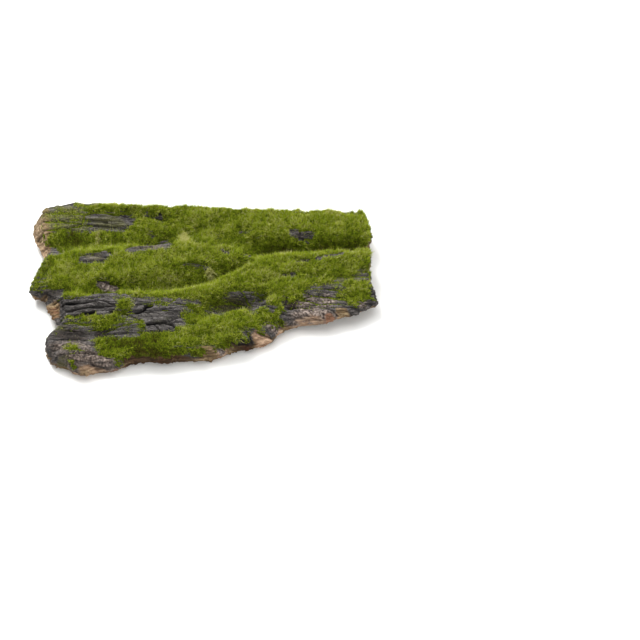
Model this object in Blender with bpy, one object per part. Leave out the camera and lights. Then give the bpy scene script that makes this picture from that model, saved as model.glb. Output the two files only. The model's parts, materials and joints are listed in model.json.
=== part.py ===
"""A slab of furrowed tree bark with moss growing on it, lying flat side down.

Metres, +Z up. X runs along the grain of the bark, Y from the front edge to the back edge. The origin is
under the middle of the object, on the surface that it lies on. Every table below is in millimetres.
"""

import math

import bmesh
import bpy
from mathutils import Matrix, Vector, noise
from mathutils.bvhtree import BVHTree

MM = 0.001

# Driving dimensions of the slab.
CELLS_ALONG = 54
CELLS_ACROSS = 23
UNDERSIDE_ARCH = 5.8        # how far the hollow inner side rises between the two long edges
UNDERSIDE_SINK = 1.7        # how far that arch is cut by the plane z = 0, which leaves the flat feet
FRONT_RIGHT_LIFT = 7.5      # the front edge curls up towards the right end
RIM_SHARE = 0.42            # height of the broken edge's outermost line, between underside and top
UNDERSIDE_INSET = 2.0       # the underside stops this far inside the outline
ROUGHNESS = 0.55            # height of the small waves in the outer bark

# Driving dimensions of the moss.
MOSS_GAP = 0.7              # clearance between the bark and the mat of moss above it
MOSS_RIM = 0.9              # thickness of a mat at its edge
MOSS_STATION = 6.0          # spacing of a mat's cross-sections
MOSS_CELL = 5.2             # widest cell of a cross-section

# The outline in plan, as (x, y, bevel). The bevel is how far the top of the slab stops inside it, because
# the broken edge slopes outwards. The front and back run left to right, the ends run front to back.
FRONT_EDGE = [
    (-90, -58, 3), (-83, -60, 3), (-74, -65, 3), (-66, -63, 3), (-58, -62, 3.5), (-51, -59, 3.5),
    (-45, -56, 3.5), (-36, -54, 3), (-26, -54.5, 3), (-14, -53.5, 3), (-2, -53, 3), (6, -52.5, 3.5),
    (13, -49.5, 4), (20, -45.5, 4), (30, -43.5, 5), (38, -40.5, 6), (44, -38, 6), (48, -31.5, 4),
    (55, -27.5, 3), (64, -26.5, 3), (73, -26.5, 3), (83, -23.5, 3), (93, -20.5, 3), (102, -16.5, 2.5),
    (111, -12, 2.5),
]
RIGHT_END = [
    (111, -12, 2.5), (111, -8, 2.5), (108.5, -1, 2.5), (107, 7, 2), (105.5, 15, 2), (107, 23, 2),
    (104, 32, 2), (107, 41, 2), (105, 50, 2.5), (102, 58, 3),
]
BACK_EDGE = [
    (-110, 57, 6), (-96, 60, 4), (-76, 61, 4), (-60, 62, 4), (-46, 59.5, 4), (-20, 60, 4), (4, 61, 4),
    (30, 60, 4), (60, 58.5, 4), (84, 59, 4), (102, 58, 3),
]
LEFT_END = [
    (-90, -58, 3), (-95.5, -52, 3), (-98.5, -46, 3), (-97.5, -38, 3), (-95, -33, 3), (-91, -28, 4),
    (-92, -21, 6), (-95.5, -14, 7), (-100, -8.5, 6), (-106, -4.5, 4), (-113, -0.5, 3), (-110.5, 5, 3),
    (-107, 15, 3), (-105.5, 25, 4), (-107, 34, 6), (-112, 43, 8), (-115, 50, 9), (-110, 57, 6),
]

# The relief of the outer bark: crests and furrows that run along the grain, each as (x, y, height) points.
RELIEF = {
    "back_crest": [
        (-104, 51, 22), (-80, 54, 24), (-60, 55, 23.5), (-40, 54, 22), (0, 54, 22), (40, 54, 22), (103, 53, 20),
    ],
    "back_shoulder": [
        (-100, 44, 19), (-75, 45, 19), (-50, 46, 18.5), (0, 44, 18), (40, 42, 21), (61, 40, 22), (103, 42, 20),
    ],
    "back_furrow": [
        (-105, 33, 12), (-80, 32, 12), (-60, 33, 12), (-40, 35, 13), (-20, 38, 15.5), (0, 38, 16.5),
        (15, 35, 15), (30, 31, 11.5), (45, 29.5, 9), (61, 29, 8.5), (85, 31, 9), (105, 34, 10),
    ],
    "middle_crest": [
        (-106, 12, 16), (-85, 19, 20), (-65, 21, 21), (-40, 25, 21), (-24, 28, 20.5), (-5, 27, 20),
        (14, 24, 19), (25, 20, 17),
    ],
    "middle_shoulder": [
        (-104, 3, 14.5), (-88, 2, 17), (-64, 5, 18), (-46, 8.5, 18.5), (-20, 15, 19), (-2, 18, 19), (18, 20, 18),
    ],
    "hollow": [
        (-102, -5, 13), (-85, -6, 14), (-66, -4.5, 13), (-52, -3, 10.5), (-33, -1, 8.5), (-14, 1, 8),
        (5, 5, 8), (18, 12, 8.5), (26, 16, 10),
    ],
    "centre_crest": [
        (-93, -14, 17), (-80, -15, 19), (-60, -15, 20.5), (-45, -16, 20.5), (-30, -17, 20), (-14, -16, 19),
        (2, -9, 19), (14, -2.5, 20), (27, 7, 21), (40, 11, 22), (60, 15, 22.5), (86, 19, 22), (103, 22, 20),
    ],
    "centre_slope": [(20, -8, 18.5), (36, -4, 19), (61, -4, 18.5), (86, 1, 18), (104, 5, 17)],
    "front_hole": [(-4, -30, 13.5), (10, -19, 11), (24, -14.5, 9), (36, -10.5, 10.5)],
    "knob": [(42, -18, 18.5), (47, -21, 18)],
    "front_shelf": [(-16, -38, 15.5), (0, -37, 16), (12, -30, 16.5), (24, -28.5, 16.5), (36, -29, 14.5), (45, -31, 12)],
    "front_right": [(55, -21, 13), (72, -20, 13.5), (88, -16, 13.5), (105, -9, 12.5)],
    "ledge": [(-89, -25, 14), (-75, -27, 15.5), (-60, -28, 16.5), (-45, -29, 16.5), (-30, -31, 16.5)],
    "recess": [(-88, -33, 10), (-75, -34.5, 9.5), (-63, -35, 10.5)],
    "knuckle": [(-92, -46, 12), (-82, -48, 14), (-70, -50, 13), (-62, -54, 10)],
    "front_bulge": [(-52, -45, 13), (-33, -44, 13.5), (-10, -46, 12.5), (6, -44, 12)],
}
RELIEF_SOFTNESS = 2.2       # how rounded a crest or furrow is
RELIEF_REACH = 1.7          # how strongly the nearest line rules

# The moss: the carpet that covers most of the bark, and the patches that bare bark sets apart from it. Each
# is its thickness and its sections, as (x, y of the front edge, y of the back edge).
MOSS = {
    "moss_carpet": (3.8, [
        (-101, 6, 18), (-96, -1, 28), (-90, -4, 36), (-84, -13, 41), (-76, -14, 43), (-70, -8, 43.5),
        (-62, -4, 43), (-54, -7, 43.5), (-47, -13, 46), (-41, -15, 53), (-35, -15.5, 57), (-25, -16.5, 58),
        (-12, -18, 58), (-4, -23.5, 58), (3, -25.5, 58.3), (8, -21, 58.3), (17, -12.5, 58), (27, -8.5, 57.8),
        (35, -9.5, 57.5), (40, -13, 57), (44, -17.5, 56.8), (48, -20, 56.5), (52, -18, 56), (58, -13, 56),
        (66, -11.5, 56), (76, -6, 56), (83, -7, 56), (90, -13, 55.5), (97, -14, 55), (102, -12, 54),
    ]),
    "moss_back_rim": (3.0, [(-78, 53, 56), (-70, 51.5, 57), (-60, 51.5, 57.8), (-48, 52.5, 55.8)]),
    "moss_front_slope": (3.6, [
        (-66, -52, -43), (-56, -54.5, -43), (-45, -52, -44), (-37, -50, -40), (-26, -50.5, -38.5),
        (-16, -50, -38), (-7, -49.5, -35), (0, -48.5, -30.5), (8, -46, -27), (17, -41.5, -24.5),
        (27, -38.5, -22.5), (35, -34.5, -22.5), (41, -32, -28.5),
    ]),
    "moss_ledge": (2.8, [
        (-86, -29, -25), (-74, -31.5, -23.5), (-62, -33.5, -24.5), (-54, -35.5, -25.5), (-49, -35, -29),
    ]),
    "moss_ledge_tuft": (2.8, [(-46, -34.5, -31), (-40, -37.5, -28.5), (-34, -35.5, -30)]),
    "moss_crest_tuft": (2.6, [(-60, -20, -16.5), (-52, -23.5, -16), (-44, -25, -18.5), (-39, -23, -20)]),
    "moss_knuckle_spot": (2.2, [(-87, -51, -48), (-82, -53, -46.5), (-77, -51, -48.5)]),
}


def clear_scene():
    for old in list(bpy.data.objects):
        bpy.data.objects.remove(old)


def finish(name, colour, roughness):
    """A matt Principled material."""
    made = bpy.data.materials.new(name)
    made.use_nodes = True
    shader = made.node_tree.nodes["Principled BSDF"]
    shader.inputs["Base Color"].default_value = (*colour, 1.0)
    shader.inputs["Roughness"].default_value = roughness
    shader.inputs["Metallic"].default_value = 0.0
    return made


def add_object(name, shape, material):
    """The bmesh as a smooth-shaded object."""
    bmesh.ops.recalc_face_normals(shape, faces=shape.faces)
    mesh = bpy.data.meshes.new(name)
    shape.to_mesh(mesh)
    shape.free()
    mesh.shade_smooth()
    mesh.materials.append(material)
    made = bpy.data.objects.new(name, mesh)
    bpy.context.scene.collection.objects.link(made)
    return made


def spline_value(before, a, b, after, t):
    """Catmull-Rom between a and b."""
    return 0.5 * (
        2 * a + (b - before) * t + (2 * before - 5 * a + 4 * b - after) * t ** 2
        + (3 * a - before - 3 * b + after) * t ** 3
    )


def point_along(points, share):
    """The point at this share, from 0 to 1, of a smooth curve through the points."""
    lengths = [(Vector(b[:2]) - Vector(a[:2])).length for a, b in zip(points, points[1:])]
    left = share * sum(lengths)
    k = 0
    while k < len(lengths) - 1 and left > lengths[k]:
        left -= lengths[k]
        k += 1
    t = min(left / lengths[k], 1.0)
    before, after = points[max(k - 1, 0)], points[min(k + 2, len(points) - 1)]
    return Vector([spline_value(*four, t) for four in zip(before, points[k], points[k + 1], after)])


def edge_curve(edge, steps):
    return [point_along(edge, n / steps) for n in range(steps + 1)]


def spread_between(front, back, left, right, i, j):
    """A point of the sheet that the four edge curves bound, by a bilinearly blended Coons patch."""
    u, v = i / (len(front) - 1), j / (len(left) - 1)
    ruled = front[i] * (1 - v) + back[i] * v + left[j] * (1 - u) + right[j] * u
    corners = (
        front[0] * (1 - u) * (1 - v) + front[-1] * u * (1 - v) + back[0] * (1 - u) * v + back[-1] * u * v
    )
    return ruled - corners


def drawn_in(edges, how_far):
    """The four edge curves moved inwards in plan. how_far(point) gives the distance."""
    middle = Vector((0, 2))
    moved = []
    for side, edge in enumerate(edges):
        # Square to the edge, and along the diagonal at the corners that two edges share.
        inwards = [Vector((0, 1)), Vector((0, -1)), Vector((1, 0)), Vector((-1, 0))][side]
        curve = []
        for n, point in enumerate(edge):
            at_end = n in (0, len(edge) - 1)
            way = (middle - point.xy).normalized() if at_end else inwards
            moved_xy = point.xy + way * how_far(point)
            curve.append(Vector((moved_xy.x, moved_xy.y, point.z)))
        moved.append(curve)
    return moved


def nearest_height(line, x, y):
    """The squared distance in plan to a relief line, and the line's height there."""
    best = None
    for a, b in zip(line, line[1:]):
        run_x, run_y = b[0] - a[0], b[1] - a[1]
        t = ((x - a[0]) * run_x + (y - a[1]) * run_y) / (run_x ** 2 + run_y ** 2)
        t = min(max(t, 0.0), 1.0)
        squared = (a[0] + t * run_x - x) ** 2 + (a[1] + t * run_y - y) ** 2
        if best is None or squared < best[0]:
            best = (squared, a[2] + t * (b[2] - a[2]))
    return best


def top_height(x, y):
    """The outer bark: the relief lines blended by nearness, with small waves drawn out along the grain."""
    weighed, weights = 0.0, 0.0
    for line in RELIEF.values():
        squared, height = nearest_height(line, x, y)
        weight = (squared + RELIEF_SOFTNESS ** 2) ** -RELIEF_REACH
        weighed += weight * height
        weights += weight
    waves = noise.noise(Vector((x / 16, y / 4.5, 0))) + 0.5 * noise.noise(Vector((x / 7, y / 2.5, 5)))
    return weighed / weights + ROUGHNESS * waves


def underside_height(x, y, share_across):
    """The inner bark, hollow along the grain, with the curl of the front right edge. Never below the floor."""
    arch = UNDERSIDE_ARCH * math.sin(math.pi * share_across) ** 0.8 - UNDERSIDE_SINK
    reach = min(max((x - 18) / 70, 0.0), 1.0)
    curl = FRONT_RIGHT_LIFT * reach ** 1.3 * max(1 - 1.5 * share_across, 0.0)
    streaks = 0.35 * noise.noise(Vector((x / 22, y / 6, 9)))
    return max(arch + curl + streaks, 0.0)


def build_bark():
    """One closed solid: the relief on top, the arched underside, and the broken edge between them."""
    edges = [
        edge_curve(FRONT_EDGE, CELLS_ALONG), edge_curve(BACK_EDGE, CELLS_ALONG),
        edge_curve(LEFT_END, CELLS_ACROSS), edge_curve(RIGHT_END, CELLS_ACROSS),
    ]
    top_edges = drawn_in(edges, lambda point: point.z)
    under_edges = drawn_in(edges, lambda point: UNDERSIDE_INSET)
    shape = bmesh.new()
    top, under = {}, {}
    for i in range(CELLS_ALONG + 1):
        for j in range(CELLS_ACROSS + 1):
            place = spread_between(*top_edges, i, j)
            top[i, j] = shape.verts.new((place.x, place.y, top_height(place.x, place.y)))
            place = spread_between(*under_edges, i, j)
            height = underside_height(place.x, place.y, j / CELLS_ACROSS)
            under[i, j] = shape.verts.new((place.x, place.y, height))
    for i in range(CELLS_ALONG):
        for j in range(CELLS_ACROSS):
            shape.faces.new((top[i, j], top[i + 1, j], top[i + 1, j + 1], top[i, j + 1]))
            shape.faces.new((under[i, j], under[i, j + 1], under[i + 1, j + 1], under[i + 1, j]))
    around = (
        [((i, 0), edges[0][i]) for i in range(CELLS_ALONG)]
        + [((CELLS_ALONG, j), edges[3][j]) for j in range(CELLS_ACROSS)]
        + [((i, CELLS_ACROSS), edges[1][i]) for i in range(CELLS_ALONG, 0, -1)]
        + [((0, j), edges[2][j]) for j in range(CELLS_ACROSS, 0, -1)]
    )
    ring = []
    for key, place in around:
        above, below = top[key].co.z, under[key].co.z
        ring.append((key, shape.verts.new((place.x, place.y, below + RIM_SHARE * (above - below)))))
    for (key, rim), (next_key, next_rim) in zip(ring, ring[1:] + ring[:1]):
        shape.faces.new((rim, next_rim, top[next_key], top[key]))
        shape.faces.new((under[key], under[next_key], next_rim, rim))
    bmesh.ops.scale(shape, vec=(MM, MM, MM), verts=shape.verts)
    bmesh.ops.triangulate(shape, faces=shape.faces)
    return add_object("bark_slab", shape, finish("bark", (0.10, 0.09, 0.085), 0.9))


def section_at(sections, x):
    """The front and back edge of a mat at x, on smooth curves through its sections."""
    k = 0
    while k < len(sections) - 2 and x > sections[k + 1][0]:
        k += 1
    a, b = sections[k], sections[k + 1]
    t = (x - a[0]) / (b[0] - a[0])
    before, after = sections[max(k - 1, 0)], sections[min(k + 2, len(sections) - 1)]
    return [spline_value(before[n], a[n], b[n], after[n], t) for n in (1, 2)]


def lift_clear(heights, places, triangles, bark):
    """Raises the corners of an underside, just enough to clear the bark between the corners too."""
    shares = [(a / 5, b / 5, (5 - a - b) / 5) for a in range(6) for b in range(6 - a)]
    checks = []
    for corners in triangles:
        for weights in shares:
            place = sum((places[c] * w for c, w in zip(corners, weights)), Vector((0, 0)))
            checks.append((corners, weights, bark_height(bark, place) + MOSS_GAP))
    for n in range(12):
        for corners, weights, needed in checks:
            short = needed - sum(heights[c] * w for c, w in zip(corners, weights))
            if short > 0:
                share = sum(w * w for w in weights)
                for corner, w in zip(corners, weights):
                    heights[corner] += short * w / share


def bark_height(bark, place):
    down = Vector((0, 0, -1))
    return bark.ray_cast(Vector((place.x, place.y, 100)) * MM, down)[0].z / MM


def build_moss(name, thickness, sections, bark, material):
    """A mat that follows the bark under it, thin and rounded at its edge."""
    first, last = sections[0][0], sections[-1][0]
    steps = max(round((last - first) / MOSS_STATION), 3)
    columns = max(math.ceil(max(back - front for x, front, back in sections) / MOSS_CELL), 3)
    places, depths = {}, {}
    for i in range(steps + 1):
        x = first + (last - first) * i / steps
        front, back = section_at(sections, x)
        for j in range(columns + 1):
            places[i, j] = Vector((x, front + (back - front) * j / columns))
            on_rim = i in (0, steps) or j in (0, columns)
            depths[i, j] = MOSS_RIM if on_rim else thickness
    triangles = []
    for i in range(steps):
        for j in range(columns):
            a, b, c, d = (i, j), (i + 1, j), (i + 1, j + 1), (i, j + 1)
            triangles += [(a, b, c), (a, c, d)]
    heights = {key: bark_height(bark, place) + MOSS_GAP for key, place in places.items()}
    lift_clear(heights, places, triangles, bark)
    shape = bmesh.new()
    below = {key: shape.verts.new((*place, heights[key])) for key, place in places.items()}
    above = {key: shape.verts.new((*place, heights[key] + depths[key])) for key, place in places.items()}
    for a, b, c in triangles:
        shape.faces.new((above[a], above[b], above[c]))
        shape.faces.new((below[c], below[b], below[a]))
    around = (
        [(i, 0) for i in range(steps)] + [(steps, j) for j in range(columns)]
        + [(i, columns) for i in range(steps, 0, -1)] + [(0, j) for j in range(columns, 0, -1)]
    )
    for key, next_key in zip(around, around[1:] + around[:1]):
        shape.faces.new((below[key], below[next_key], above[next_key], above[key]))
    bmesh.ops.scale(shape, vec=(MM, MM, MM), verts=shape.verts)
    bmesh.ops.triangulate(shape, faces=shape.faces)
    return add_object(name, shape, material)


def centre_on_origin(objects):
    """Shifts all the meshes in plan, so that the origin is under the middle of the whole object."""
    corners = [v.co for o in objects for v in o.data.vertices]
    middle_x = (min(c.x for c in corners) + max(c.x for c in corners)) / 2
    middle_y = (min(c.y for c in corners) + max(c.y for c in corners)) / 2
    for o in objects:
        o.data.transform(Matrix.Translation((-middle_x, -middle_y, 0)))


clear_scene()
slab = build_bark()
slab_surface = BVHTree.FromPolygons(
    [v.co for v in slab.data.vertices], [p.vertices for p in slab.data.polygons]
)
moss_green = finish("moss", (0.13, 0.22, 0.02), 0.95)
mats = [
    build_moss(moss_name, depth, outline, slab_surface, moss_green)
    for moss_name, (depth, outline) in MOSS.items()
]
centre_on_origin([slab, *mats])
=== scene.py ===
"""A slab of old tree bark with moss growing on it, lying on a pale table in soft studio light.

Everything is in the frame of the CAD model, +Z up. The sizes and places of the bark and the moss are in
millimetres. Those of the camera, the table and the lights are in metres.
"""

import json
import math

import bmesh
import bpy
import numpy as np
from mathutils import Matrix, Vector, noise
from mathutils.bvhtree import BVHTree

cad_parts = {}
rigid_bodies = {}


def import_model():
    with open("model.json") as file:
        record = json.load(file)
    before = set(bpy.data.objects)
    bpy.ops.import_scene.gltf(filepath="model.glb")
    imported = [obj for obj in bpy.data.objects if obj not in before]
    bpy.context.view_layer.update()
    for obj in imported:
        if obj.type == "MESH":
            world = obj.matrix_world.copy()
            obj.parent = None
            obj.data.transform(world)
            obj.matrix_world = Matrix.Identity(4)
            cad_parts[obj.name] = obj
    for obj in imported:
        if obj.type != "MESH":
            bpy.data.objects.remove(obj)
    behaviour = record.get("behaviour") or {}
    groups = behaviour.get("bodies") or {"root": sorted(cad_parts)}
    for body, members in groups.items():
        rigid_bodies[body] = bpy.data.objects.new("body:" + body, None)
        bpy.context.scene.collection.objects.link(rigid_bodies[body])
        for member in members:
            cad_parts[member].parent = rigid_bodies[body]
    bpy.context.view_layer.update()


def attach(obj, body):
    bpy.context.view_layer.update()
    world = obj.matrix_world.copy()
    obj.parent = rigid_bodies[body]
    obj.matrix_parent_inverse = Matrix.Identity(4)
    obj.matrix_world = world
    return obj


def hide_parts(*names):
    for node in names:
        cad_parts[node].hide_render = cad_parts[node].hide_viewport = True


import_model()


# ---- The camera -------------------------------------------------------------------------------------
# A long lens, square to the front edge of the slab and looking down on it at 50 degrees.

LOOK_AT = Vector((0.0756, -0.0241, 0.010))
LOOK_DOWN = math.radians(50)
DISTANCE = 1.2
LENS = 107.1                    # in mm
towards_camera = Vector((0, -math.cos(LOOK_DOWN), math.sin(LOOK_DOWN)))
camera = bpy.data.objects.new("camera", bpy.data.cameras.new("camera"))
camera.data.lens = LENS
camera.location = LOOK_AT + towards_camera * DISTANCE
camera.rotation_euler = (-towards_camera).to_track_quat("-Z", "Y").to_euler()
bpy.context.scene.collection.objects.link(camera)
bpy.context.scene.camera = camera


# ---- The bark slab ----------------------------------------------------------------------------------
# One piece of thick bark, broken off an old trunk. Dark weathered plates outside, split along the grain
# by narrow fissures; tan fibrous layers where it is broken through and on the hollow inner side.

MM = 0.001
BARK_GRID = 0.6                 # spacing of the mesh that the relief is cut in
BARK_FACES = 192000             # triangles kept of it
PLATE_SIZE = (42.0, 6.0)        # along and across the grain
FLAKE_SIZE = (14.0, 2.2)        # the thin flakes that a plate's face splits into
FISSURE_DEPTH = 1.2
PLATE_STEP = 0.9                # how much higher one plate may stand than the next
FLAKE_STEP = 0.4                # the same for flakes
FLAKE_GAP = 0.45                # depth between flakes
RIB_HEIGHT = 0.6                # ribs along the grain
GRIT_HEIGHT = 0.32
CHECK_DEPTH = 0.5               # short cracks across the grain
LAYER_STEP = 0.8                # how far a broken edge stands out or in: along its torn layers,
TEAR_STEP = 1.5                 # in tears about 8 mm wide,
SPLINTER_STEP = 1.0             # in splinters,
CHIP_STEP = 1.5                 # in chips about 4 mm wide
TOOTH_STEP = 1.2                # and in teeth about 2 mm wide
FIBRE_HEIGHT = 0.35             # the fibres of the inner side
CELL_DEPTH = 60.0               # plates and flakes go through the whole thickness
OUTER_BARK = 8.5                # thickness of the dark outer bark over the tan inner bark

# The long fissures that show, as how deep each is and its (x, y) points.
FISSURES = [
    (3.0, [(-87, -16.5), (-80, -17.2), (-73, -17.4), (-65, -16)]),
    (3.0, [(-88, -26), (-85, -24.3), (-76, -24), (-66, -23)]),
    (3.0, [(-56, -22.5), (-50, -24), (-38, -24.3), (-35, -23.3), (-34, -20.5), (-30, -19.8)]),
    (3.0, [(-32, -32.5), (-22, -31.5), (-17, -32.3), (-14, -35), (0, -35.8), (5, -35)]),
    (2.0, [(-82, -37), (-72, -36.2), (-62, -37.5)]),
    (1.4, [(-70, 54.2), (-60, 53.6), (-49, 54.5)]),
    (1.0, [(-88, 49), (-76, 49.6), (-63, 49)]),
    (1.8, [(-38, 52.2), (-30, 51.4), (-22, 50.8)]),
]
# Places on the bark, as (x, y, reach along x, reach along y, how strongly). Here the dark bark has flaked
# away and the tan bark shows.
PEELED = [
    (-108, 42, 13, 27, 1), (-94, -17, 8, 10, 0.9), (40, -38.5, 10, 5, 1), (24, -45, 17, 3, 1),
    (-62, -62, 17, 3, 0.8), (71, -24.5, 18, 3.6, 0.45), (6, -49.5, 11, 4, 1), (-101, -6, 5, 3, 0.8),
    (89.5, -19, 6, 4, 0.9), (82, -22.5, 5, 2.5, 1), (-26, -53.5, 38, 4.5, 1),
]
# The tan bark is stained red.
REDDENED = [
    (82, -22.5, 7, 4, 1), (-52, -59, 6, 4, 0.6), (-24, -54, 40, 6, 0.4), (-92, -19, 7, 9, 0.4),
    (30, -43, 5, 3, 0.7), (38, -39, 9, 4, 0.3),
]
# The bark is bleached to a pale grey or cream.
BLEACHED = [
    (-79, -49, 21, 12, 0.58), (-67, -57, 26, 9, 0.74), (14, -47, 6, 4, 0.6), (71, -15, 19, 9, 0.7),
    (80, -12, 9, 7, 0.7), (74, -23, 24, 6, 1), (-59, 1, 10, 5, 1), (100, -12, 10, 4, 0.7),
    (47, -30, 8, 5, 0.9), (64, 39.5, 9, 4, 0.35), (-35, 29.5, 17, 6, 0.5), (-69, 20, 9, 4, 0.5),
    (40, -38, 9, 4, 1), (-108, 38, 10, 24, 0.6),
]
# A thin green film grows on it.
FILMED = [
    (-90, 49, 20, 12, 0.9), (-100, 52, 12, 12, 0.6), (-98, 18, 9, 14, 0.8), (-62, 49, 18, 6, 0.7),
    (-88, -32, 9, 4, 0.6), (20, -15, 20, 8, 1), (92, 6, 14, 10, 0.7), (-35, 28.5, 17, 5, 0.5),
    (-108, 46, 9, 20, 0.45), (-84, -57, 7, 3, 0.6), (-69, 20, 9, 4, 0.6), (-46, -30, 12, 6, 0.35),
    (-26, -28, 15, 9, 0.25), (-10, -33, 8, 5, 0.5), (60, -4, 12, 5, 0.5),
]
# Painted shade: the bark is darkened where shade falls on it, as in the hollow and under the front lip. At
# the knuckle (-70, -56) the darkening is the bark's own darker, warmer colour.
SHADE_AND_DARKER_BARK = [
    (-80, -37, 17, 9, 0.8), (-61, -38, 7, 9, 1), (22, -14, 20, 8, 0.65), (-97, -3, 9, 6, 0.7),
    (27, -42, 16, 3, 0.8), (-26, -53, 38, 5, 0.9), (-93, -6, 8, 5, 0.7), (-70, -56, 22, 9, 0.45),
    (57, -14, 7, 7, 0.9), (-90, -48, 5, 6, 0.6),
]
# Its broken edge is worn smoother.
SMOOTHER = [(-108, 42, 18, 30, 1)]
# Its broken edge has crumbled, and is more ragged.
CRUMBLED = [(-92, -47, 14, 18, 1)]
# It is finely wrinkled, mostly across the grain.
WRINKLED = [(66, -16, 28, 13, 1), (-70, -53, 24, 12, 0.6), (-60, 1, 9, 4, 1)]
# The wall of the notch in the left end bulges out, by this much.
NOTCH = [(-94, -17, 12, 13, 1)]
NOTCH_WALL = 3.6
# The outer bark at the back left corner curls up, by this much.
RISEN = [(-84, 60, 42, 20, 1)]
CORNER_RISE = 2.0
# The crumbling back edge bulges out past the plain solid, more at its left corner. The bulge grows between
# two places along y, and the corner is a spot (x, y, reach along x, reach along y).
BACK_BULGE = 2.2
CORNER_BULGE = 2.5
BULGE_FROM, BULGE_TO = 38, 60
BACK_CORNER = (-104, 56, 30, 26)

SEED_STEP = 17.31               # how far apart in the noise two seeds lie
CELL_SEED_STEP = 5.17
LOOK_FROM = 100                 # the height from which a surface's own height is looked for


def rise(low, high, value):
    """0 below low, 1 above high, smooth between."""
    share = np.clip((value - low) / (high - low), 0, 1)
    return share * share * (3 - 2 * share)


def ripples(at, sizes, seed):
    """Perlin noise from -1 to 1 at every point, drawn out to these sizes along x, y and z."""
    stretched = at / np.array(sizes) + seed * SEED_STEP
    return np.array([noise.noise(p) for p in stretched.tolist()])


def near_spots(at, spots):
    """A spot's strength at its middle, falling to 0 at its reach."""
    best = np.zeros(len(at))
    for x, y, reach_x, reach_y, strength in spots:
        away = np.hypot((at[:, 0] - x) / reach_x, (at[:, 1] - y) / reach_y)
        best = np.maximum(best, strength * (1 - rise(0.35, 1.0, away)))
    return best


def spread(x, y):
    """How far the back edge bulges out past the plain solid here."""
    corner_x, corner_y, reach_x, reach_y = BACK_CORNER
    corner = 1 - rise(0.35, 1.0, np.hypot((x - corner_x) / reach_x, (y - corner_y) / reach_y))
    return (BACK_BULGE + CORNER_BULGE * corner) * rise(BULGE_FROM, BULGE_TO, y)


def distance_to(line, at):
    """The distance in plan from every point to a line of (x, y) points."""
    best = np.full(len(at), 1e9)
    for (ax, ay), (bx, by) in zip(line, line[1:]):
        run_x, run_y = bx - ax, by - ay
        t = ((at[:, 0] - ax) * run_x + (at[:, 1] - ay) * run_y) / (run_x ** 2 + run_y ** 2)
        t = np.clip(t, 0, 1)
        best = np.minimum(best, np.hypot(at[:, 0] - ax - t * run_x, at[:, 1] - ay - t * run_y))
    return best


def surface_of(mesh):
    """A mesh as a surface that rays can be cast on."""
    return BVHTree.FromPolygons([v.co for v in mesh.vertices], [p.vertices for p in mesh.polygons])


def above(surface, x, y):
    """The height in mm of the surface at (x, y), or None beside it."""
    hit = surface.ray_cast(Vector((x, y, LOOK_FROM)) * MM, Vector((0, 0, -1)))[0]
    return None if hit is None else hit.z / MM


def evaluated_copy(obj, name):
    """A plain mesh of an object with its modifiers applied."""
    graph = bpy.context.evaluated_depsgraph_get()
    mesh = bpy.data.meshes.new_from_object(obj.evaluated_get(graph))
    mesh.name = name
    return mesh


rough = bmesh.new()
rough.from_mesh(bpy.data.objects["bark_slab"].data)
bmesh.ops.remove_doubles(rough, verts=rough.verts, dist=1e-6)
rough_mesh = bpy.data.meshes.new("rough_slab")
rough.to_mesh(rough_mesh)
rough.free()
rough_surface = surface_of(rough_mesh)
rough_slab = bpy.data.objects.new("rough_slab", rough_mesh)
bpy.context.scene.collection.objects.link(rough_slab)
regrid = rough_slab.modifiers.new("even grid", "REMESH")
regrid.mode = "VOXEL"
regrid.voxel_size = BARK_GRID * MM
bark_mesh = evaluated_copy(rough_slab, "bark")
bpy.data.objects.remove(rough_slab)

count = len(bark_mesh.vertices)
at = np.empty(count * 3)
bark_mesh.vertices.foreach_get("co", at)
at = at.reshape(-1, 3) / MM
facing = np.empty(count * 3)
bark_mesh.vertices.foreach_get("normal", facing)
facing = facing.reshape(-1, 3)
outside = rise(0.15, 0.55, facing[:, 2])
inside = rise(0.25, 0.7, -facing[:, 2])
broken = 1 - outside - inside

# How deep each point lies below the outer surface, looked for a little way in from the broken edge.
LOOK_IN = 8
depth = np.zeros(count)
for n, (place, way) in enumerate(zip(at, facing)):
    inwards = -LOOK_IN * Vector((way[0], way[1], 0)) if abs(way[2]) < 0.9 else Vector((0, 0, 0))
    top = above(rough_surface, place[0] + inwards.x, place[1] + inwards.y)
    if top is not None:
        depth[n] = top - place[2]


def split_in_cells(sizes, bend, seed):
    """Long irregular cells: the distance in mm to the nearest gap, and each cell's own level and slope."""
    sizes = np.array([*sizes, CELL_DEPTH])
    bent = at.copy()
    bent[:, 0] += bend * ripples(at, (30, 12, 12), seed)
    bent[:, 1] += 0.35 * bend * ripples(at, (20, 8, 8), seed + 1) + 0.4 * ripples(at, (5, 2.5, 2.5), seed + 2)
    gap, level = np.zeros(count), np.zeros(count)
    for n, p in enumerate((bent / sizes + seed * CELL_SEED_STEP).tolist()):
        (first, second), (here, other) = (found[:2] for found in noise.voronoi(p))
        steepness = np.hypot(*((other - here).xy[k] / sizes[k] for k in (0, 1)))
        gap[n] = (second * second - first * first) / 2 / max(steepness, 1e-6)
        slope = 0.5 * noise.noise(here * 5.3) * (p[1] - here[1])
        level[n] = noise.noise(here * 3.7) + slope
    return gap, level


plate_gap, plate_level = split_in_cells(PLATE_SIZE, 2.2, 1)
flake_gap, flake_level = split_in_cells(FLAKE_SIZE, 1.0, 8)
fissure = 1 - rise(0.12, 0.75, plate_gap)
flake_edge = 1 - rise(0.0, 0.4, flake_gap)
long_fissure = np.zeros(count)
meander = 0.5 * ripples(at, (5, 5, 5), 3)
for line_depth, line in FISSURES:
    across = distance_to(line, at) + meander
    long_fissure = np.maximum(long_fissure, line_depth * (1 - rise(0.3, 1.15, across)))

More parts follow.
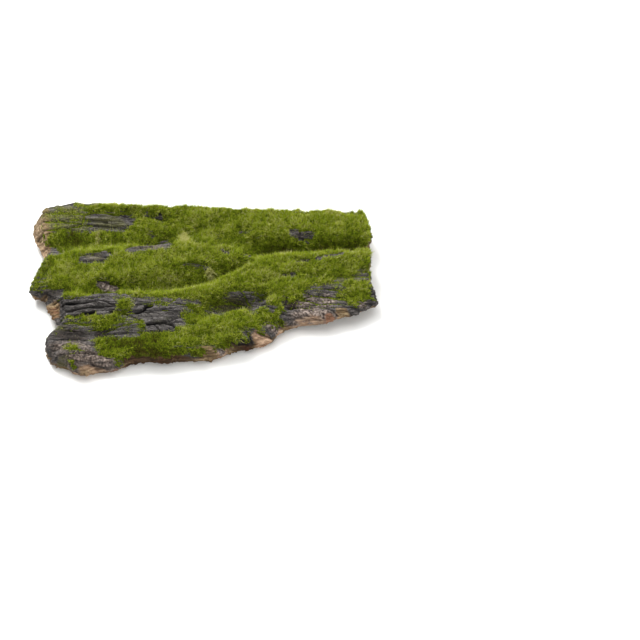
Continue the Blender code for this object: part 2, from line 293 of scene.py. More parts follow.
# The relief of the outer surface.
ribs = np.abs(ripples(at, (11, 1.3, 1.3), 4))
grit = ripples(at, (1.6, 1.0, 1.0), 5)
checks = 1 - rise(0.0, 0.1, np.abs(ripples(at, (3.4, 9, 9), 6)))
raised = outside * (
    PLATE_STEP * plate_level - FISSURE_DEPTH * fissure - long_fissure + FLAKE_STEP * flake_level
    - FLAKE_GAP * flake_edge + RIB_HEIGHT * ribs + GRIT_HEIGHT * grit
    - CHECK_DEPTH * checks * rise(0.0, 0.3, ripples(at, (18, 9, 9), 7))
)
# The relief of the broken edges, and of the inner side.
layers = ripples(at, (26, 26, 1.0), 8)
ragged = ripples(at, (8, 8, 2.8), 9)
chips = ripples(np.floor(at / (4.2, 4.2, 2.1) + 0.35 * ragged[:, None]), (1.37, 1.71, 1.93), 14)
teeth = ripples(np.floor(at / (2.0, 2.0, 1.6) + 0.5 * ragged[:, None]), (1.41, 1.73, 1.91), 16)
splinters = ripples(at, (2.0, 2.0, 1.4), 10)
smoother = 1 - 0.6 * near_spots(at, SMOOTHER)
raised += broken * smoother * (
    LAYER_STEP * layers + TEAR_STEP * ragged + SPLINTER_STEP * splinters + CHIP_STEP * chips
    + TOOTH_STEP * teeth
)
raised += 1.5 * broken * near_spots(at, CRUMBLED) * (teeth + chips)
wrinkles = 0.9 * ripples(at, (1.3, 3.0, 1.5), 15) + 0.5 * ripples(at, (3.0, 1.3, 1.3), 17)
raised += outside * near_spots(at, WRINKLED) * wrinkles
raised += NOTCH_WALL * broken * near_spots(at, NOTCH)
raised += inside * (FIBRE_HEIGHT * ripples(at, (16, 1.6, 1.6), 11) + 0.15 * grit)
raised += CORNER_RISE * outside * near_spots(at, RISEN)
moved = at + facing * raised[:, None]
moved[:, 1] += spread(at[:, 0], at[:, 1])
moved[:, 2] = np.maximum(moved[:, 2], 0.02)
bark_mesh.vertices.foreach_set("co", (moved * MM).ravel())

# How far each finish of the bark, and its painted shade in fissures and hollows, shows at every point, from 0
# to 1. The material reads these.
inner = rise(OUTER_BARK - 1.5, OUTER_BARK + 1.5, depth + 3.5 * ragged + layers) * (1 - outside)
inner = np.maximum(inner, inside)
peeled = rise(0.3, 0.6, near_spots(at, PEELED) + 0.3 * ripples(at, (7, 1.6, 1.6), 12) + 0.1 * grit)
inner = np.maximum(inner, peeled)
patchy = 0.35 * ripples(at, (9, 1.8, 1.8), 13)
bleached = rise(0.15, 0.85, near_spots(at, BLEACHED) + patchy) * (1 - inside)
filmed = rise(0.15, 0.95, near_spots(at, FILMED) + patchy) * (1 - inside)
damp = rise(0.0, 0.9, near_spots(at, SHADE_AND_DARKER_BARK) + 0.5 * patchy) * (1 - inside)
reddened = rise(0.15, 0.8, near_spots(at, REDDENED) + patchy) * (1 - inside)
# Painted shade: the fissures and the gaps between flakes are darkened towards black, most where they are
# deepest.
deepest = np.maximum(np.maximum(0.7 * fissure, 0.4 * long_fissure), 0.35 * flake_edge)
shadowed = np.clip(outside * deepest, 0, 1)
masks = {
    "inner": inner, "bleached": bleached, "filmed": filmed, "fissure": shadowed, "damp": damp,
    "reddened": reddened,
}
for name, values in masks.items():
    bark_mesh.attributes.new(name, "FLOAT", "POINT").data.foreach_set("value", values.astype(np.float32))

# Fewer triangles where the surface is even. Each face of the grid is two triangles.
thinned = bpy.data.objects.new("thinned_slab", bark_mesh)
bpy.context.scene.collection.objects.link(thinned)
thinning = thinned.modifiers.new("fewer faces", "DECIMATE")
thinning.ratio = BARK_FACES / (2 * len(bark_mesh.polygons))
bark_mesh = evaluated_copy(thinned, "bark")
bpy.data.objects.remove(thinned)


def srgb(hex_colour):
    """A hex colour as linear RGBA."""
    parts = [int(hex_colour[n:n + 2], 16) / 255 for n in (1, 3, 5)]
    return (*(c / 12.92 if c <= 0.04045 else ((c + 0.055) / 1.055) ** 2.4 for c in parts), 1.0)


def add(tree, kind, inputs=None, stops=None, **settings):
    """Adds a node with its settings. An input is a value, a socket, or a node, meaning its first output."""
    made = tree.nodes.new(kind)
    for name, value in settings.items():
        setattr(made, name, value)
    for key, value in (inputs or {}).items():
        live = [s for s in made.inputs if s.enabled]
        socket = live[key] if isinstance(key, int) else next(s for s in live if s.name == key)
        if isinstance(value, bpy.types.Node):
            value = next(s for s in value.outputs if s.enabled)
        if isinstance(value, bpy.types.NodeSocket):
            tree.links.new(value, socket)
        else:
            socket.default_value = value
    if stops:
        ramp = made.color_ramp.elements
        while len(ramp) < len(stops):
            ramp.new(0.5)
        for element, (position, colour) in zip(ramp, stops):
            element.position = position
            element.color = srgb(colour)
    return made


def new_material(name):
    """An empty material, with its tree and its output node."""
    made = bpy.data.materials.new(name)
    made.use_nodes = True
    made.node_tree.nodes.clear()
    return made, made.node_tree, add(made.node_tree, "ShaderNodeOutputMaterial")


# Weathered bark is dead cork: matt, charcoal grey, streaked along the grain. Broken bark is tan and fibrous.
bark, tree, output = new_material("weathered_bark")
place = add(tree, "ShaderNodeTexCoord").outputs["Object"]
# Streaks about 1 mm wide and 10 mm long, mottling of about 1.5 mm, specks of about 0.6 mm, and patches of
# about 11 mm.
along_grain = add(tree, "ShaderNodeMapping", {"Vector": place, "Scale": (100, 950, 950)})
streaks = add(tree, "ShaderNodeTexNoise", {"Vector": along_grain, "Scale": 1.0, "Detail": 4.0})
mottling = add(tree, "ShaderNodeTexNoise", {"Vector": place, "Scale": 700.0, "Detail": 5.0})
specks = add(tree, "ShaderNodeTexNoise", {"Vector": place, "Scale": 1600.0, "Detail": 2.0})
patches = add(tree, "ShaderNodeTexNoise", {"Vector": place, "Scale": 90.0, "Detail": 3.0})
speckled = add(tree, "ShaderNodeMix", {"Factor": 0.45, "A": streaks, "B": specks}, data_type="FLOAT")
charcoal = add(tree, "ShaderNodeValToRGB", {"Fac": speckled}, stops=[
    (0.36, "#272524"), (0.49, "#484441"), (0.62, "#716c6a"),
])
# Shrinkage cracks about 2 mm apart across the grain and 8 mm along it.
crazed = add(tree, "ShaderNodeMapping", {"Vector": place, "Scale": (130, 480, 480)})
wobble = add(tree, "ShaderNodeVectorMath", {
    0: patches.outputs["Color"], 1: (1.2, 1.2, 1.2), 2: crazed,
}, operation="MULTIPLY_ADD")
plates = add(tree, "ShaderNodeTexVoronoi", {"Vector": wobble, "Scale": 1.0}, feature="DISTANCE_TO_EDGE")
cracks = add(tree, "ShaderNodeMapRange", {"Value": plates, "From Max": 0.09, "To Min": 0.75, "To Max": 0.0})
charcoal = add(tree, "ShaderNodeMix", {
    "Factor": cracks, "A": charcoal, "B": srgb("#141211"),
}, data_type="RGBA")
grey = add(tree, "ShaderNodeValToRGB", {"Fac": mottling}, stops=[
    (0.36, "#382f2b"), (0.5, "#6f6259"), (0.64, "#a6978d"),
])
film = add(tree, "ShaderNodeValToRGB", {"Fac": specks}, stops=[(0.35, "#3c3c1b"), (0.65, "#6a6a38")])
# The layers of broken bark, about 1 mm thick.
layered = add(tree, "ShaderNodeMapping", {"Vector": place, "Scale": (60, 450, 950)})
strata = add(tree, "ShaderNodeTexNoise", {"Vector": layered, "Scale": 1.0, "Detail": 5.0})
tan = add(tree, "ShaderNodeValToRGB", {"Fac": strata}, stops=[
    (0.3, "#40321f"), (0.44, "#6a573c"), (0.56, "#887353"), (0.7, "#b8a27e"),
])
cream = add(tree, "ShaderNodeValToRGB", {"Fac": strata}, stops=[
    (0.3, "#8d735b"), (0.5, "#c2a184"), (0.68, "#e8c8a9"),
])
# Fibres about 1 mm wide and 14 mm long.
fibrous = add(tree, "ShaderNodeMapping", {"Vector": place, "Scale": (70, 1000, 300)})
fibres = add(tree, "ShaderNodeTexNoise", {"Vector": fibrous, "Scale": 1.0, "Detail": 3.0})
masked = {
    name: add(tree, "ShaderNodeAttribute", attribute_name=name).outputs["Fac"] for name in masks
}
bared = add(tree, "ShaderNodeMix", {"Factor": masked["bleached"], "A": tan, "B": cream}, data_type="RGBA")
rust = add(tree, "ShaderNodeMapRange", {"Value": patches, "From Min": 0.52, "From Max": 0.72, "To Max": 0.4})
stained = add(tree, "ShaderNodeMath", {0: rust, 1: masked["reddened"]}, operation="MAXIMUM")
stain = add(tree, "ShaderNodeMath", {0: stained, 1: 0.75}, operation="MULTIPLY")
rusty = add(tree, "ShaderNodeMix", {"Factor": stain, "A": bared, "B": srgb("#7c4a34")}, data_type="RGBA")
tan_fibres = add(tree, "ShaderNodeMix", {
    "Factor": add(tree, "ShaderNodeMapRange", {
        "Value": fibres, "From Min": 0.42, "From Max": 0.62, "To Max": 0.45,
    }), "A": rusty, "B": srgb("#5b4732"),
}, data_type="RGBA")
colour = charcoal
for mask, upper, strength in (("bleached", grey, 0.9), ("inner", tan_fibres, 1.0), ("filmed", film, 0.72)):
    share = add(tree, "ShaderNodeMath", {0: masked[mask], 1: strength}, operation="MULTIPLY")
    colour = add(tree, "ShaderNodeMix", {"Factor": share, "A": colour, "B": upper}, data_type="RGBA")
# Painted shade: darker where shade falls, and at the knuckle the bark's own darker, warmer colour.
colour = add(tree, "ShaderNodeMix", {
    "Factor": masked["damp"], "A": colour, "B": srgb("#93877a"),
}, data_type="RGBA", blend_type="MULTIPLY")
# Painted shade in the fissures and between flakes: the colour is darkened towards black.
colour = add(tree, "ShaderNodeMix", {
    "Factor": masked["fissure"], "A": colour, "B": srgb("#0d0b0a"),
}, data_type="RGBA")
grainy = add(tree, "ShaderNodeMath", {0: streaks, 1: specks}, operation="ADD")
uneven = add(tree, "ShaderNodeMath", {0: cracks, 1: -0.6, 2: grainy}, operation="MULTIPLY_ADD")
bumps = add(tree, "ShaderNodeBump", {"Height": uneven, "Distance": 0.0006, "Strength": 0.8})
cork = add(tree, "ShaderNodeBsdfPrincipled", {
    "Base Color": colour, "Roughness": 0.88, "Specular IOR Level": 0.3, "Normal": bumps,
})
tree.links.new(cork.outputs[0], output.inputs["Surface"])

bark_mesh.materials.clear()
bark_mesh.materials.append(bark)
bark_mesh.shade_smooth()
bark_piece = bpy.data.objects.new("bark", bark_mesh)
bpy.context.scene.collection.objects.link(bark_piece)
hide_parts("bark_slab")
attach(bark_piece, "root")


# ---- The moss ---------------------------------------------------------------------------------------
# Sheets of short-leaved moss, rooted on the bark. Each is a low felt of stems with shoots standing out of
# it, thick in the furrows and on the crests, and thin where the bark is worn.

FELT_GRID = 1.25                # spacing of the felt's mesh
FELT_HEIGHT = 0.7
FELT_THICKNESS = 1.2
FELT_SUNK = 0.9                 # how far below the bark the felt lies where no moss grows
FELT_MARGIN = 12                # how far past its mat a felt may grow
MOUND_HEIGHT = 0.9
THINNEST_COVER = 0.03           # with less moss than this, the bark is bare
SHOOTS_PER_MM2 = 14.0
SHOOT_LENGTH = 2.1
SHOOT_WIDTH = 0.25

# Bare or thin places, as the ends of a line (x, y, x, y), its half width, and how bare it is.
WORN = [
    (-46, 27, -24, 32.2, 4.1, 0.97), (-76, 18.5, -62, 21, 3.2, 0.97), (57, 41, 61.5, 40, 2.0, 0.95),
    (64, 38.7, 70, 38.3, 1.7, 0.95), (27, 27, 29.5, 24.5, 1.8, 0.85), (13, 25.5, 16, 24.5, 1.5, 0.85),
    (60.5, 14.5, 68, 14.5, 1.3, 0.9), (74, 17, 89, 20.2, 1.4, 0.9), (91, 22.8, 103, 26.2, 1.3, 0.85),
    (52.5, 4.5, 58, 4.9, 1.2, 1.0), (70, -8, 88, -1, 3.5, 0.6), (86, 3, 105, 6, 2.6, 0.6),
    (-64, 1.6, -55, -0.6, 2.4, 0.97), (-38, 53.2, -24, 50.6, 1.5, 0.95), (-97, 30, -91, 26, 1.8, 0.95),
    (-36, 43, -33, 41.5, 1.5, 0.8), (-27, 37.5, -22, 40.5, 1.8, 0.6), (-12, 14.5, 8, 15, 1.8, 0.5),
    (-88, -16, -56, -18.5, 3.2, 0.97), (-86, -21, -58, -22, 2.0, 0.9), (-38, -22, -16, -28, 4.3, 0.97),
    (-32, -32, -17, -31.5, 2.4, 0.97), (-31, -36, -18, -35.5, 1.6, 0.9), (-14, -15.5, -1, -15.5, 1.5, 0.85),
    (6, -18.5, 37, -12, 5.0, 0.62), (17, -11, 26, -10, 3.0, 0.6), (-70, 49.5, -50, 50.5, 3.2, 0.9),
    (25, 42, 38, 40, 1.8, 0.4), (43.5, -19.5, 46, -21, 1.7, 0.92), (53.5, -12, 54, -22, 1.6, 0.85),
    (35, 30, 60, 31, 1.6, 0.4), (-93, 27, -87, 27.5, 2.0, 0.8), (-92, -48.5, -87, -50, 3.4, 0.9),
]
# Moss beyond the CAD mats, as (x, y, reach along x, reach along y, how thick).
STRAY = [
    (47, -22, 8.5, 9, 1.0), (103, -3, 7, 12, 0.8), (106, 35, 10, 38, 1.0), (-90, 42, 16, 16, 0.22),
    (-80, -11, 9, 6, 0.8), (-100, 12, 9, 17, 0.5), (-50, -20, 16, 7, 0.25), (-72, 53, 14, 5, 0.3),
    (-28, -36, 10, 3, 0.3), (75, -10, 30, 10, 0.16), (20, -20, 20, 8, 0.25), (-80, -20, 20, 8, 0.12),
    (-80, -60, 6, 3, 0.6), (4, -27, 9, 7, 0.85), (-6, -26, 9, 5, 0.85), (-93, -34, 7, 6, 0.3),
    (-80, -46, 12, 8, 0.1), (-30, -51.5, 40, 6, 1.0), (18, -42, 17, 6, 0.9), (-88, 50, 20, 8, 0.35),
    (-72, 58, 18, 4, 0.5), (-93, 38, 10, 10, 0.6), (24, -13, 16, 6, 0.45), (25, -16.5, 9, 5, 1.0),
    (-104, 5, 8, 9, 0.5), (-41, 64, 26, 15, 0.95), (-28, -19, 16, 3.5, 0.5), (-44, -31, 10, 4, 0.5),
    (-80, -12, 12, 3.5, 0.6), (-66, -15, 6, 2.5, 0.35), (-20, -24, 6, 4, 0.35),
]
# Where the shoots are paler and drier, or darker and browner, as (x, y, reach x, reach y, by how much). The
# darker places are mostly painted shade, in hollows and on slopes facing the front.
TINTED = [
    (-12.5, 38, 3, 8, 0.9), (4.5, 12, 3, 4.5, 1.1), (-69, 40, 1.6, 6, 0.8), (-60, 60, 14, 4, 0.25),
    (81, 4, 5, 9, 0.15), (-40, 38, 10, 5, 0.15), (-83, 38, 13, 8, -0.3), (-62, 41, 12, 5, -0.2),
    (-100, 20, 6, 14, -0.2), (-35, -49, 30, 6, -0.35), (72, 35, 38, 5.5, -0.22), (38, 30, 14, 7, -0.2),
    (-5, 14, 20, 3.5, -0.3), (-60, 1, 14, 4, -0.2), (-50, -30, 18, 6, -0.15), (-30, 3, 24, 9, 0.15),
    (-10, 3, 28, 9, 0.24), (22, -14, 20, 8, -0.15), (-42, -44, 22, 7, -0.3), (48, -15, 9, 5, 0.15),
    (48, 7, 14, 9, 0.12),
]
# Where it stands in a thick cushion, as (x, y, reach x, reach y, by how much higher).
SWOLLEN = [(-22, 55, 50, 10, 2.6), (60, 51, 62, 8, 1.2)]
MOSS_NODES = [
    "moss_carpet", "moss_back_rim", "moss_front_slope", "moss_ledge", "moss_ledge_tuft", "moss_crest_tuft",
    "moss_knuckle_spot",
]

# The carpet's shoots are made in four strips along the slab, with under 200,000 triangles each. These are
# where they start and end. The outer ends lie far past the slab's own.
FAR = 1000
WHOLE_LENGTH = (-FAR, FAR)
CARPET_STRIPS = [(-FAR, -45), (-45, 3), (3, 52), (52, FAR)]


def ring(radius, parts):
    """Points evenly round a circle."""
    turns = [n * math.tau / parts for n in range(parts)]
    return [(radius * math.cos(turn), radius * math.sin(turn)) for turn in turns]


bark_surface = surface_of(bark_mesh)
mat_surfaces = {name: surface_of(bpy.data.objects[name].data) for name in MOSS_NODES}
disc = [(0, 0), *ring(1.6, 6), *ring(3.6, 12)]
wide_ring = ring(8, 8)


def limited(value):
    """The value, kept from 0 to 1."""
    return min(max(value, 0), 1)


def on_solid_slab(x, y):
    """The y on the plain solid of a place on the slab with its bulging back edge."""
    return y - spread(x, y - spread(x, y))


def wander(x, y):
    """How far the moss's outline strays from its mat's here, along x and y."""
    stray_x = 5.0 * noise.noise((x / 8, y / 3, 1.5)) + 3.0 * noise.noise((x / 3, y / 1.6, 11.5))
    stray_y = 2.6 * noise.noise((x / 7, y / 4, 7.5)) + 2.0 * noise.noise((x / 3.5, y / 1.6, 15.5))
    return stray_x, stray_y


def cover_at(surface, spots, x, y):
    """How thick a mat's moss is here, from 0 to 1: how much of a small disc of the bark the mat covers."""
    at_y = on_solid_slab(x, y)
    stray_x, stray_y = wander(x, y)
    near = [(x + stray_x + a, at_y + stray_y + b) for a, b in disc]
    on_bark = sum(above(rough_surface, *spot) is not None for spot in near)
    cover = min(sum(above(surface, *spot) is not None for spot in near) / max(on_bark, 7), 1)
    # A spot has its full strength out to about half its reach.
    for spot_x, spot_y, reach_x, reach_y, thick in spots:
        away = math.hypot((x + stray_x - spot_x) / reach_x, (at_y + stray_y - spot_y) / reach_y)
        cover = max(cover, thick * limited(2.2 * (1 - away)))
    # A worn place is barest out to two thirds of its half width, and reaches out to twice its half width.
    frayed = 1.3 * noise.noise((x / 3, y / 2, 3.5)) + 1.5 * noise.noise((x / 1.9, y / 1.5, 33.5))
    for ax, ay, bx, by, half_width, bare in WORN:
        run = Vector((bx - ax, by - ay))
        t = limited(Vector((x - ax, at_y - ay)).dot(run) / run.length_squared)
        off = (Vector((x - ax, at_y - ay)) - run * t).length + frayed
        cover *= 1 - bare * limited(1.5 - 0.75 * off / half_width)
    thin = noise.noise((x / 11, y / 5, 21.5)) + 0.7 * noise.noise((x / 4, y / 2.2, 25.5))
    return cover * (1 - 0.5 * limited(1.6 * thin))


def tint_at(x, y, ground):
    """The shoots' tint here, from dark at 0 to pale at 1. Its painted shade makes it darker in a furrow."""
    at_y = on_solid_slab(x, y)
    stray_x, stray_y = wander(x, y)
    around = [above(bark_surface, x + a, y + b) for a, b in wide_ring]
    around = [height for height in around if height is not None]
    hollow = limited((sum(around) / len(around) - ground) / 5) if around else 0
    # Painted shade: the lower a place lies than the bark 8 mm around it, the darker its shoots.
    tint = 0.5 - 0.48 * hollow
    for spot_x, spot_y, reach_x, reach_y, change in TINTED:
        away_x = (x + 0.5 * stray_x - spot_x) / reach_x
        away_y = (at_y + 0.5 * stray_y - spot_y) / reach_y
        tint += change * limited(1.8 * (1 - math.hypot(away_x, away_y)))
    return tint


def swell_at(x, y):
    """How much higher the cushion stands here."""
    at_y = on_solid_slab(x, y)
    swell = 0
    for spot_x, spot_y, reach_x, reach_y, higher in SWOLLEN:
        away = math.hypot((x - spot_x) / reach_x, (at_y - spot_y) / reach_y)
        swell = max(swell, higher * limited(2 * (1 - away)))
    return swell


def build_felt(name):
    """A thin sheet over the bark, sunk into it where no moss grows. Its "cover" attribute is how thick."""
    spots = STRAY if name == "moss_carpet" else []
    extent = bpy.data.objects["bark_slab" if spots else name].data.vertices
    low_x, low_y = (min(v.co[k] / MM for v in extent) - FELT_MARGIN for k in (0, 1))
    high_x, high_y = (max(v.co[k] / MM for v in extent) + FELT_MARGIN for k in (0, 1))
    grid = {}
    for i in range(round((high_x - low_x) / FELT_GRID) + 1):
        for j in range(round((high_y - low_y) / FELT_GRID) + 1):
            x, y = low_x + i * FELT_GRID, low_y + j * FELT_GRID
            ground = above(bark_surface, x, y)
            if ground is None:
                continue
            cover = cover_at(mat_surfaces[name], spots, x, y)
            if cover > THINNEST_COVER:
                grid[i, j] = (x, y, ground, cover, tint_at(x, y, ground), swell_at(x, y))
    shape = bmesh.new()
    cover_layer = shape.verts.layers.float.new("cover")
    tint_layer = shape.verts.layers.float.new("felt_tint")
    made = {}
    for (i, j), (x, y, ground, cover, tint, swell) in grid.items():
        # A cushion slopes down to the bark at its edge.
        edge = sum((i + a, j + b) in grid for a in (-2, -1, 0, 1, 2) for b in (-2, -1, 0, 1, 2)) / 25
        swell *= cover * limited(2.2 * edge - 1.1)
        # It bridges small hollows in the bark, and is thicker on a steep wall.
        around = [grid[i + a, j + b][2] for a in (-1, 0, 1) for b in (-1, 0, 1) if (i + a, j + b) in grid]
        smooth = max(sum(around) / len(around), ground - 0.4)
        fall = [grid.get((i + a, j + b)) for a, b in ((1, 0), (0, 1), (-1, 0), (0, -1))]
        fall = [abs(beside[2] - ground) / FELT_GRID for beside in fall if beside]
        steepness = min(math.hypot(1, max(fall, default=0)), 2.6)
        # Mounds about 6 mm and 3 mm wide.
        mounds = noise.noise((x / 6.5, y / 5.5, 2)) + 0.8 * noise.noise((x / 2.8, y / 2.8, 4))
        height = -FELT_SUNK + (FELT_SUNK + FELT_HEIGHT * steepness) * min(cover * 1.4, 1)
        height = height + MOUND_HEIGHT * mounds * cover + swell
        made[i, j] = shape.verts.new((x * MM, y * MM, (smooth + height) * MM))
        made[i, j][cover_layer] = cover
        made[i, j][tint_layer] = tint
    for i, j in made:
        cell = [(i, j), (i + 1, j), (i + 1, j + 1), (i, j + 1)]
        if all(key in made for key in cell):
            shape.faces.new([made[key] for key in cell])
    bmesh.ops.delete(shape, geom=[v for v in shape.verts if not v.link_faces], context="VERTS")
    mesh = bpy.data.meshes.new(name)
    shape.to_mesh(mesh)
    shape.free()
    mesh.shade_smooth()
    felt = bpy.data.objects.new(name + "_felt", mesh)
    bpy.context.scene.collection.objects.link(felt)
    return felt


# Felt: the dead and shaded stems between the shoots, dark olive brown and matt.
felt_material, tree, output = new_material("moss_felt")
place = add(tree, "ShaderNodeTexCoord").outputs["Object"]
# Tufts of about 2 mm.
tufts = add(tree, "ShaderNodeTexNoise", {"Vector": place, "Scale": 500.0, "Detail": 4.0})
felt_colour = add(tree, "ShaderNodeValToRGB", {"Fac": tufts}, stops=[
    (0.3, "#262b08"), (0.5, "#4c5610"), (0.7, "#6c7622"),
])
bumps = add(tree, "ShaderNodeBump", {"Height": tufts, "Distance": 0.001, "Strength": 1.0})
felt_shader = add(tree, "ShaderNodeBsdfPrincipled", {
    "Base Color": felt_colour, "Roughness": 0.95, "Specular IOR Level": 0.15, "Normal": bumps,
})
tree.links.new(felt_shader.outputs[0], output.inputs["Surface"])

# Shoots: thin leaves that let light through. Each shoot's tint runs across its own map, and root to tip
# runs up it: shaded olive at the root, yellow green at the tip.
shoot_material, tree, output = new_material("moss_shoots")
shoot_map = add(tree, "ShaderNodeUVMap", uv_map="OFBake")
split = add(tree, "ShaderNodeSeparateXYZ", {"Vector": shoot_map})
roots = add(tree, "ShaderNodeValToRGB", {"Fac": split.outputs["X"]}, stops=[
    (0.0, "#3a3212"), (0.15, "#3a440b"), (0.5, "#5e6b13"), (1.0, "#8a8638"),
])
tips = add(tree, "ShaderNodeValToRGB", {"Fac": split.outputs["X"]}, stops=[
    (0.0, "#665628"), (0.12, "#637420"), (0.3, "#81971b"), (0.5, "#9eb227"), (0.7, "#bac43d"),
    (0.85, "#c9cf56"), (1.0, "#dedb9a"),
])
up_shoot = add(tree, "ShaderNodeMapRange", {"Value": split.outputs["Y"], "From Min": 0.1, "From Max": 0.75})
shoot_colour = add(tree, "ShaderNodeMix", {"Factor": up_shoot, "A": roots, "B": tips}, data_type="RGBA")
leaf = add(tree, "ShaderNodeBsdfPrincipled", {
    "Base Color": shoot_colour, "Roughness": 0.75, "Specular IOR Level": 0.1,
})
through = add(tree, "ShaderNodeBsdfTranslucent", {"Color": shoot_colour})
both = add(tree, "ShaderNodeMixShader", {0: 0.3, 1: leaf, 2: through})
tree.links.new(both.outputs[0], output.inputs["Surface"])


def shoots_tree():
    """Geometry Nodes that stand shoots on a felt, thick where its cover is thick."""
    made = bpy.data.node_groups.new("shoots", "GeometryNodeTree")
    sockets = [
        ("Geometry", "NodeSocketGeometry"), ("Shoots per m2", "NodeSocketFloat"),
        ("Length", "NodeSocketFloat"), ("Width", "NodeSocketFloat"),
        ("From x", "NodeSocketFloat"), ("To x", "NodeSocketFloat"),
        ("Seed", "NodeSocketInt"), ("Material", "NodeSocketMaterial"),
    ]
    for name, kind in sockets:
        made.interface.new_socket(name, in_out="INPUT", socket_type=kind)
    made.interface.new_socket("Geometry", in_out="OUTPUT", socket_type="NodeSocketGeometry")
    given = add(made, "NodeGroupInput").outputs
    # One shoot: a strip of two cells, narrowed to a point and bent over as it rises.
    strip = add(made, "GeometryNodeMeshGrid", {
        "Size X": 1.0, "Size Y": 1.0, "Vertices X": 2, "Vertices Y": 3,
    }).outputs["Mesh"]
    corner = add(made, "ShaderNodeSeparateXYZ", {0: add(made, "GeometryNodeInputPosition")})
    height = add(made, "ShaderNodeMath", {0: corner.outputs["Y"], 1: 0.5}, operation="ADD")
    squared = add(made, "ShaderNodeMath", {0: height, 1: 2.0}, operation="POWER")
    taper = add(made, "ShaderNodeMath", {0: 1.0, 1: squared}, operation="SUBTRACT")
    across = add(made, "ShaderNodeMath", {0: corner.outputs["X"], 1: taper}, operation="MULTIPLY")
    bent = add(made, "ShaderNodeMath", {0: squared, 1: 0.38}, operation="MULTIPLY")
    strip = add(made, "GeometryNodeStoreNamedAttribute", {
        "Geometry": strip, "Name": "rise", "Value": height,
    }, data_type="FLOAT", domain="POINT")
    shoot = add(made, "GeometryNodeSetPosition", {
        "Geometry": strip, "Position": add(made, "ShaderNodeCombineXYZ", {0: across, 1: bent, 2: height}),
    })
    shoot = add(made, "GeometryNodeMergeByDistance", {"Geometry": shoot, "Distance": 0.001})
    # Where they stand.
    cover = add(made, "GeometryNodeInputNamedAttribute", {"Name": "cover"}, data_type="FLOAT")
    density = add(made, "ShaderNodeMath", {0: cover, 1: given["Shoots per m2"]}, operation="MULTIPLY")
    scattered = add(made, "GeometryNodeDistributePointsOnFaces", {
        "Mesh": given["Geometry"], "Density": density, "Seed": given["Seed"],
    }, distribute_method="RANDOM")
    here = add(made, "GeometryNodeInputPosition")
    here_x = add(made, "ShaderNodeSeparateXYZ", {0: here}).outputs["X"]
    before = add(made, "FunctionNodeCompare", {"A": here_x, "B": given["From x"]}, operation="LESS_THAN")
    after = add(made, "FunctionNodeCompare", {"A": here_x, "B": given["To x"]}, operation="GREATER_EQUAL")
    outside_range = add(made, "FunctionNodeBooleanMath", {0: before, 1: after}, operation="OR")
    points = add(made, "GeometryNodeDeleteGeometry", {
        "Geometry": scattered.outputs["Points"], "Selection": outside_range,
    }, domain="POINT")
    # Which way they lean: out from the felt and up, in tufts of about 3 mm, each with its own lean.
    lean_noise = add(made, "ShaderNodeTexNoise", {"Vector": here, "Scale": 300.0, "Detail": 1.5})
    both_ways = add(made, "ShaderNodeVectorMath", {
        0: lean_noise.outputs["Color"], 1: (0.5, 0.5, 0.5),
    }, operation="SUBTRACT")
    tuft_lean = add(made, "ShaderNodeVectorMath", {0: both_ways, 1: (4.6, 4.6, 0.6)}, operation="MULTIPLY")
    own_lean = add(made, "FunctionNodeRandomValue", {
        "Min": (-0.62, -0.62, -0.1), "Max": (0.62, 0.62, 0.25), "Seed": 3,
    }, data_type="FLOAT_VECTOR")
    out_and_up = add(made, "ShaderNodeVectorMath", {
        0: scattered.outputs["Normal"], 1: (0.22, -0.1, 0.35),
    }, operation="ADD")
    leaning = add(made, "ShaderNodeVectorMath", {
        0: add(made, "ShaderNodeVectorMath", {0: out_and_up, 1: tuft_lean}, operation="ADD"), 1: own_lean,
    }, operation="ADD")
    upright = add(made, "FunctionNodeAlignRotationToVector", {"Vector": leaning}, axis="Z")
    spin = add(made, "FunctionNodeRandomValue", {"Min": 0.0, "Max": math.tau, "Seed": 5}, data_type="FLOAT")
    turned = add(made, "FunctionNodeRotateRotation", {
        "Rotation": upright,
        "Rotate By": add(made, "FunctionNodeAxisAngleToRotation", {"Axis": (0, 0, 1), "Angle": spin}),
    }, rotation_space="LOCAL")
    own_size = add(made, "FunctionNodeRandomValue", {"Min": 0.6, "Max": 1.2, "Seed": 7}, data_type="FLOAT")
    shorter = add(made, "ShaderNodeMapRange", {
        "Value": cover, "From Min": 0.0, "From Max": 0.8, "To Min": 0.35, "To Max": 1.0,
    })
    # The tint: the felt's, with its painted shade, and patches of about 9 mm, tufts of about 1.5 mm, and each
    # shoot's own, pale in only a few.
    wide = add(made, "ShaderNodeTexNoise", {"Vector": here, "Scale": 110.0, "Detail": 2.0})
    tight = add(made, "ShaderNodeTexNoise", {"Vector": here, "Scale": 650.0, "Detail": 1.0})
    even = add(made, "FunctionNodeRandomValue", {"Min": 0.0, "Max": 1.0, "Seed": 11}, data_type="FLOAT")
    own = add(made, "ShaderNodeMath", {0: even, 1: 9.0}, operation="POWER")
    felt_tint = add(made, "GeometryNodeInputNamedAttribute", {"Name": "felt_tint"}, data_type="FLOAT")
    noise_sum = add(made, "ShaderNodeMath", {0: wide, 1: tight}, operation="ADD")
    uneven = add(made, "ShaderNodeMath", {0: noise_sum, 1: 0.9, 2: felt_tint}, operation="MULTIPLY_ADD")
    tint = add(made, "ShaderNodeMapRange", {
        "Value": add(made, "ShaderNodeMath", {
            0: add(made, "ShaderNodeMath", {0: own, 1: 0.42, 2: uneven}, operation="MULTIPLY_ADD"),
            1: add(made, "FunctionNodeRandomValue", {"Min": -0.3, "Max": 0.3, "Seed": 17}, data_type="FLOAT"),
        }, operation="ADD"),
        "From Min": 0.9, "From Max": 1.9, "To Min": 0.02, "To Max": 0.98,
    })
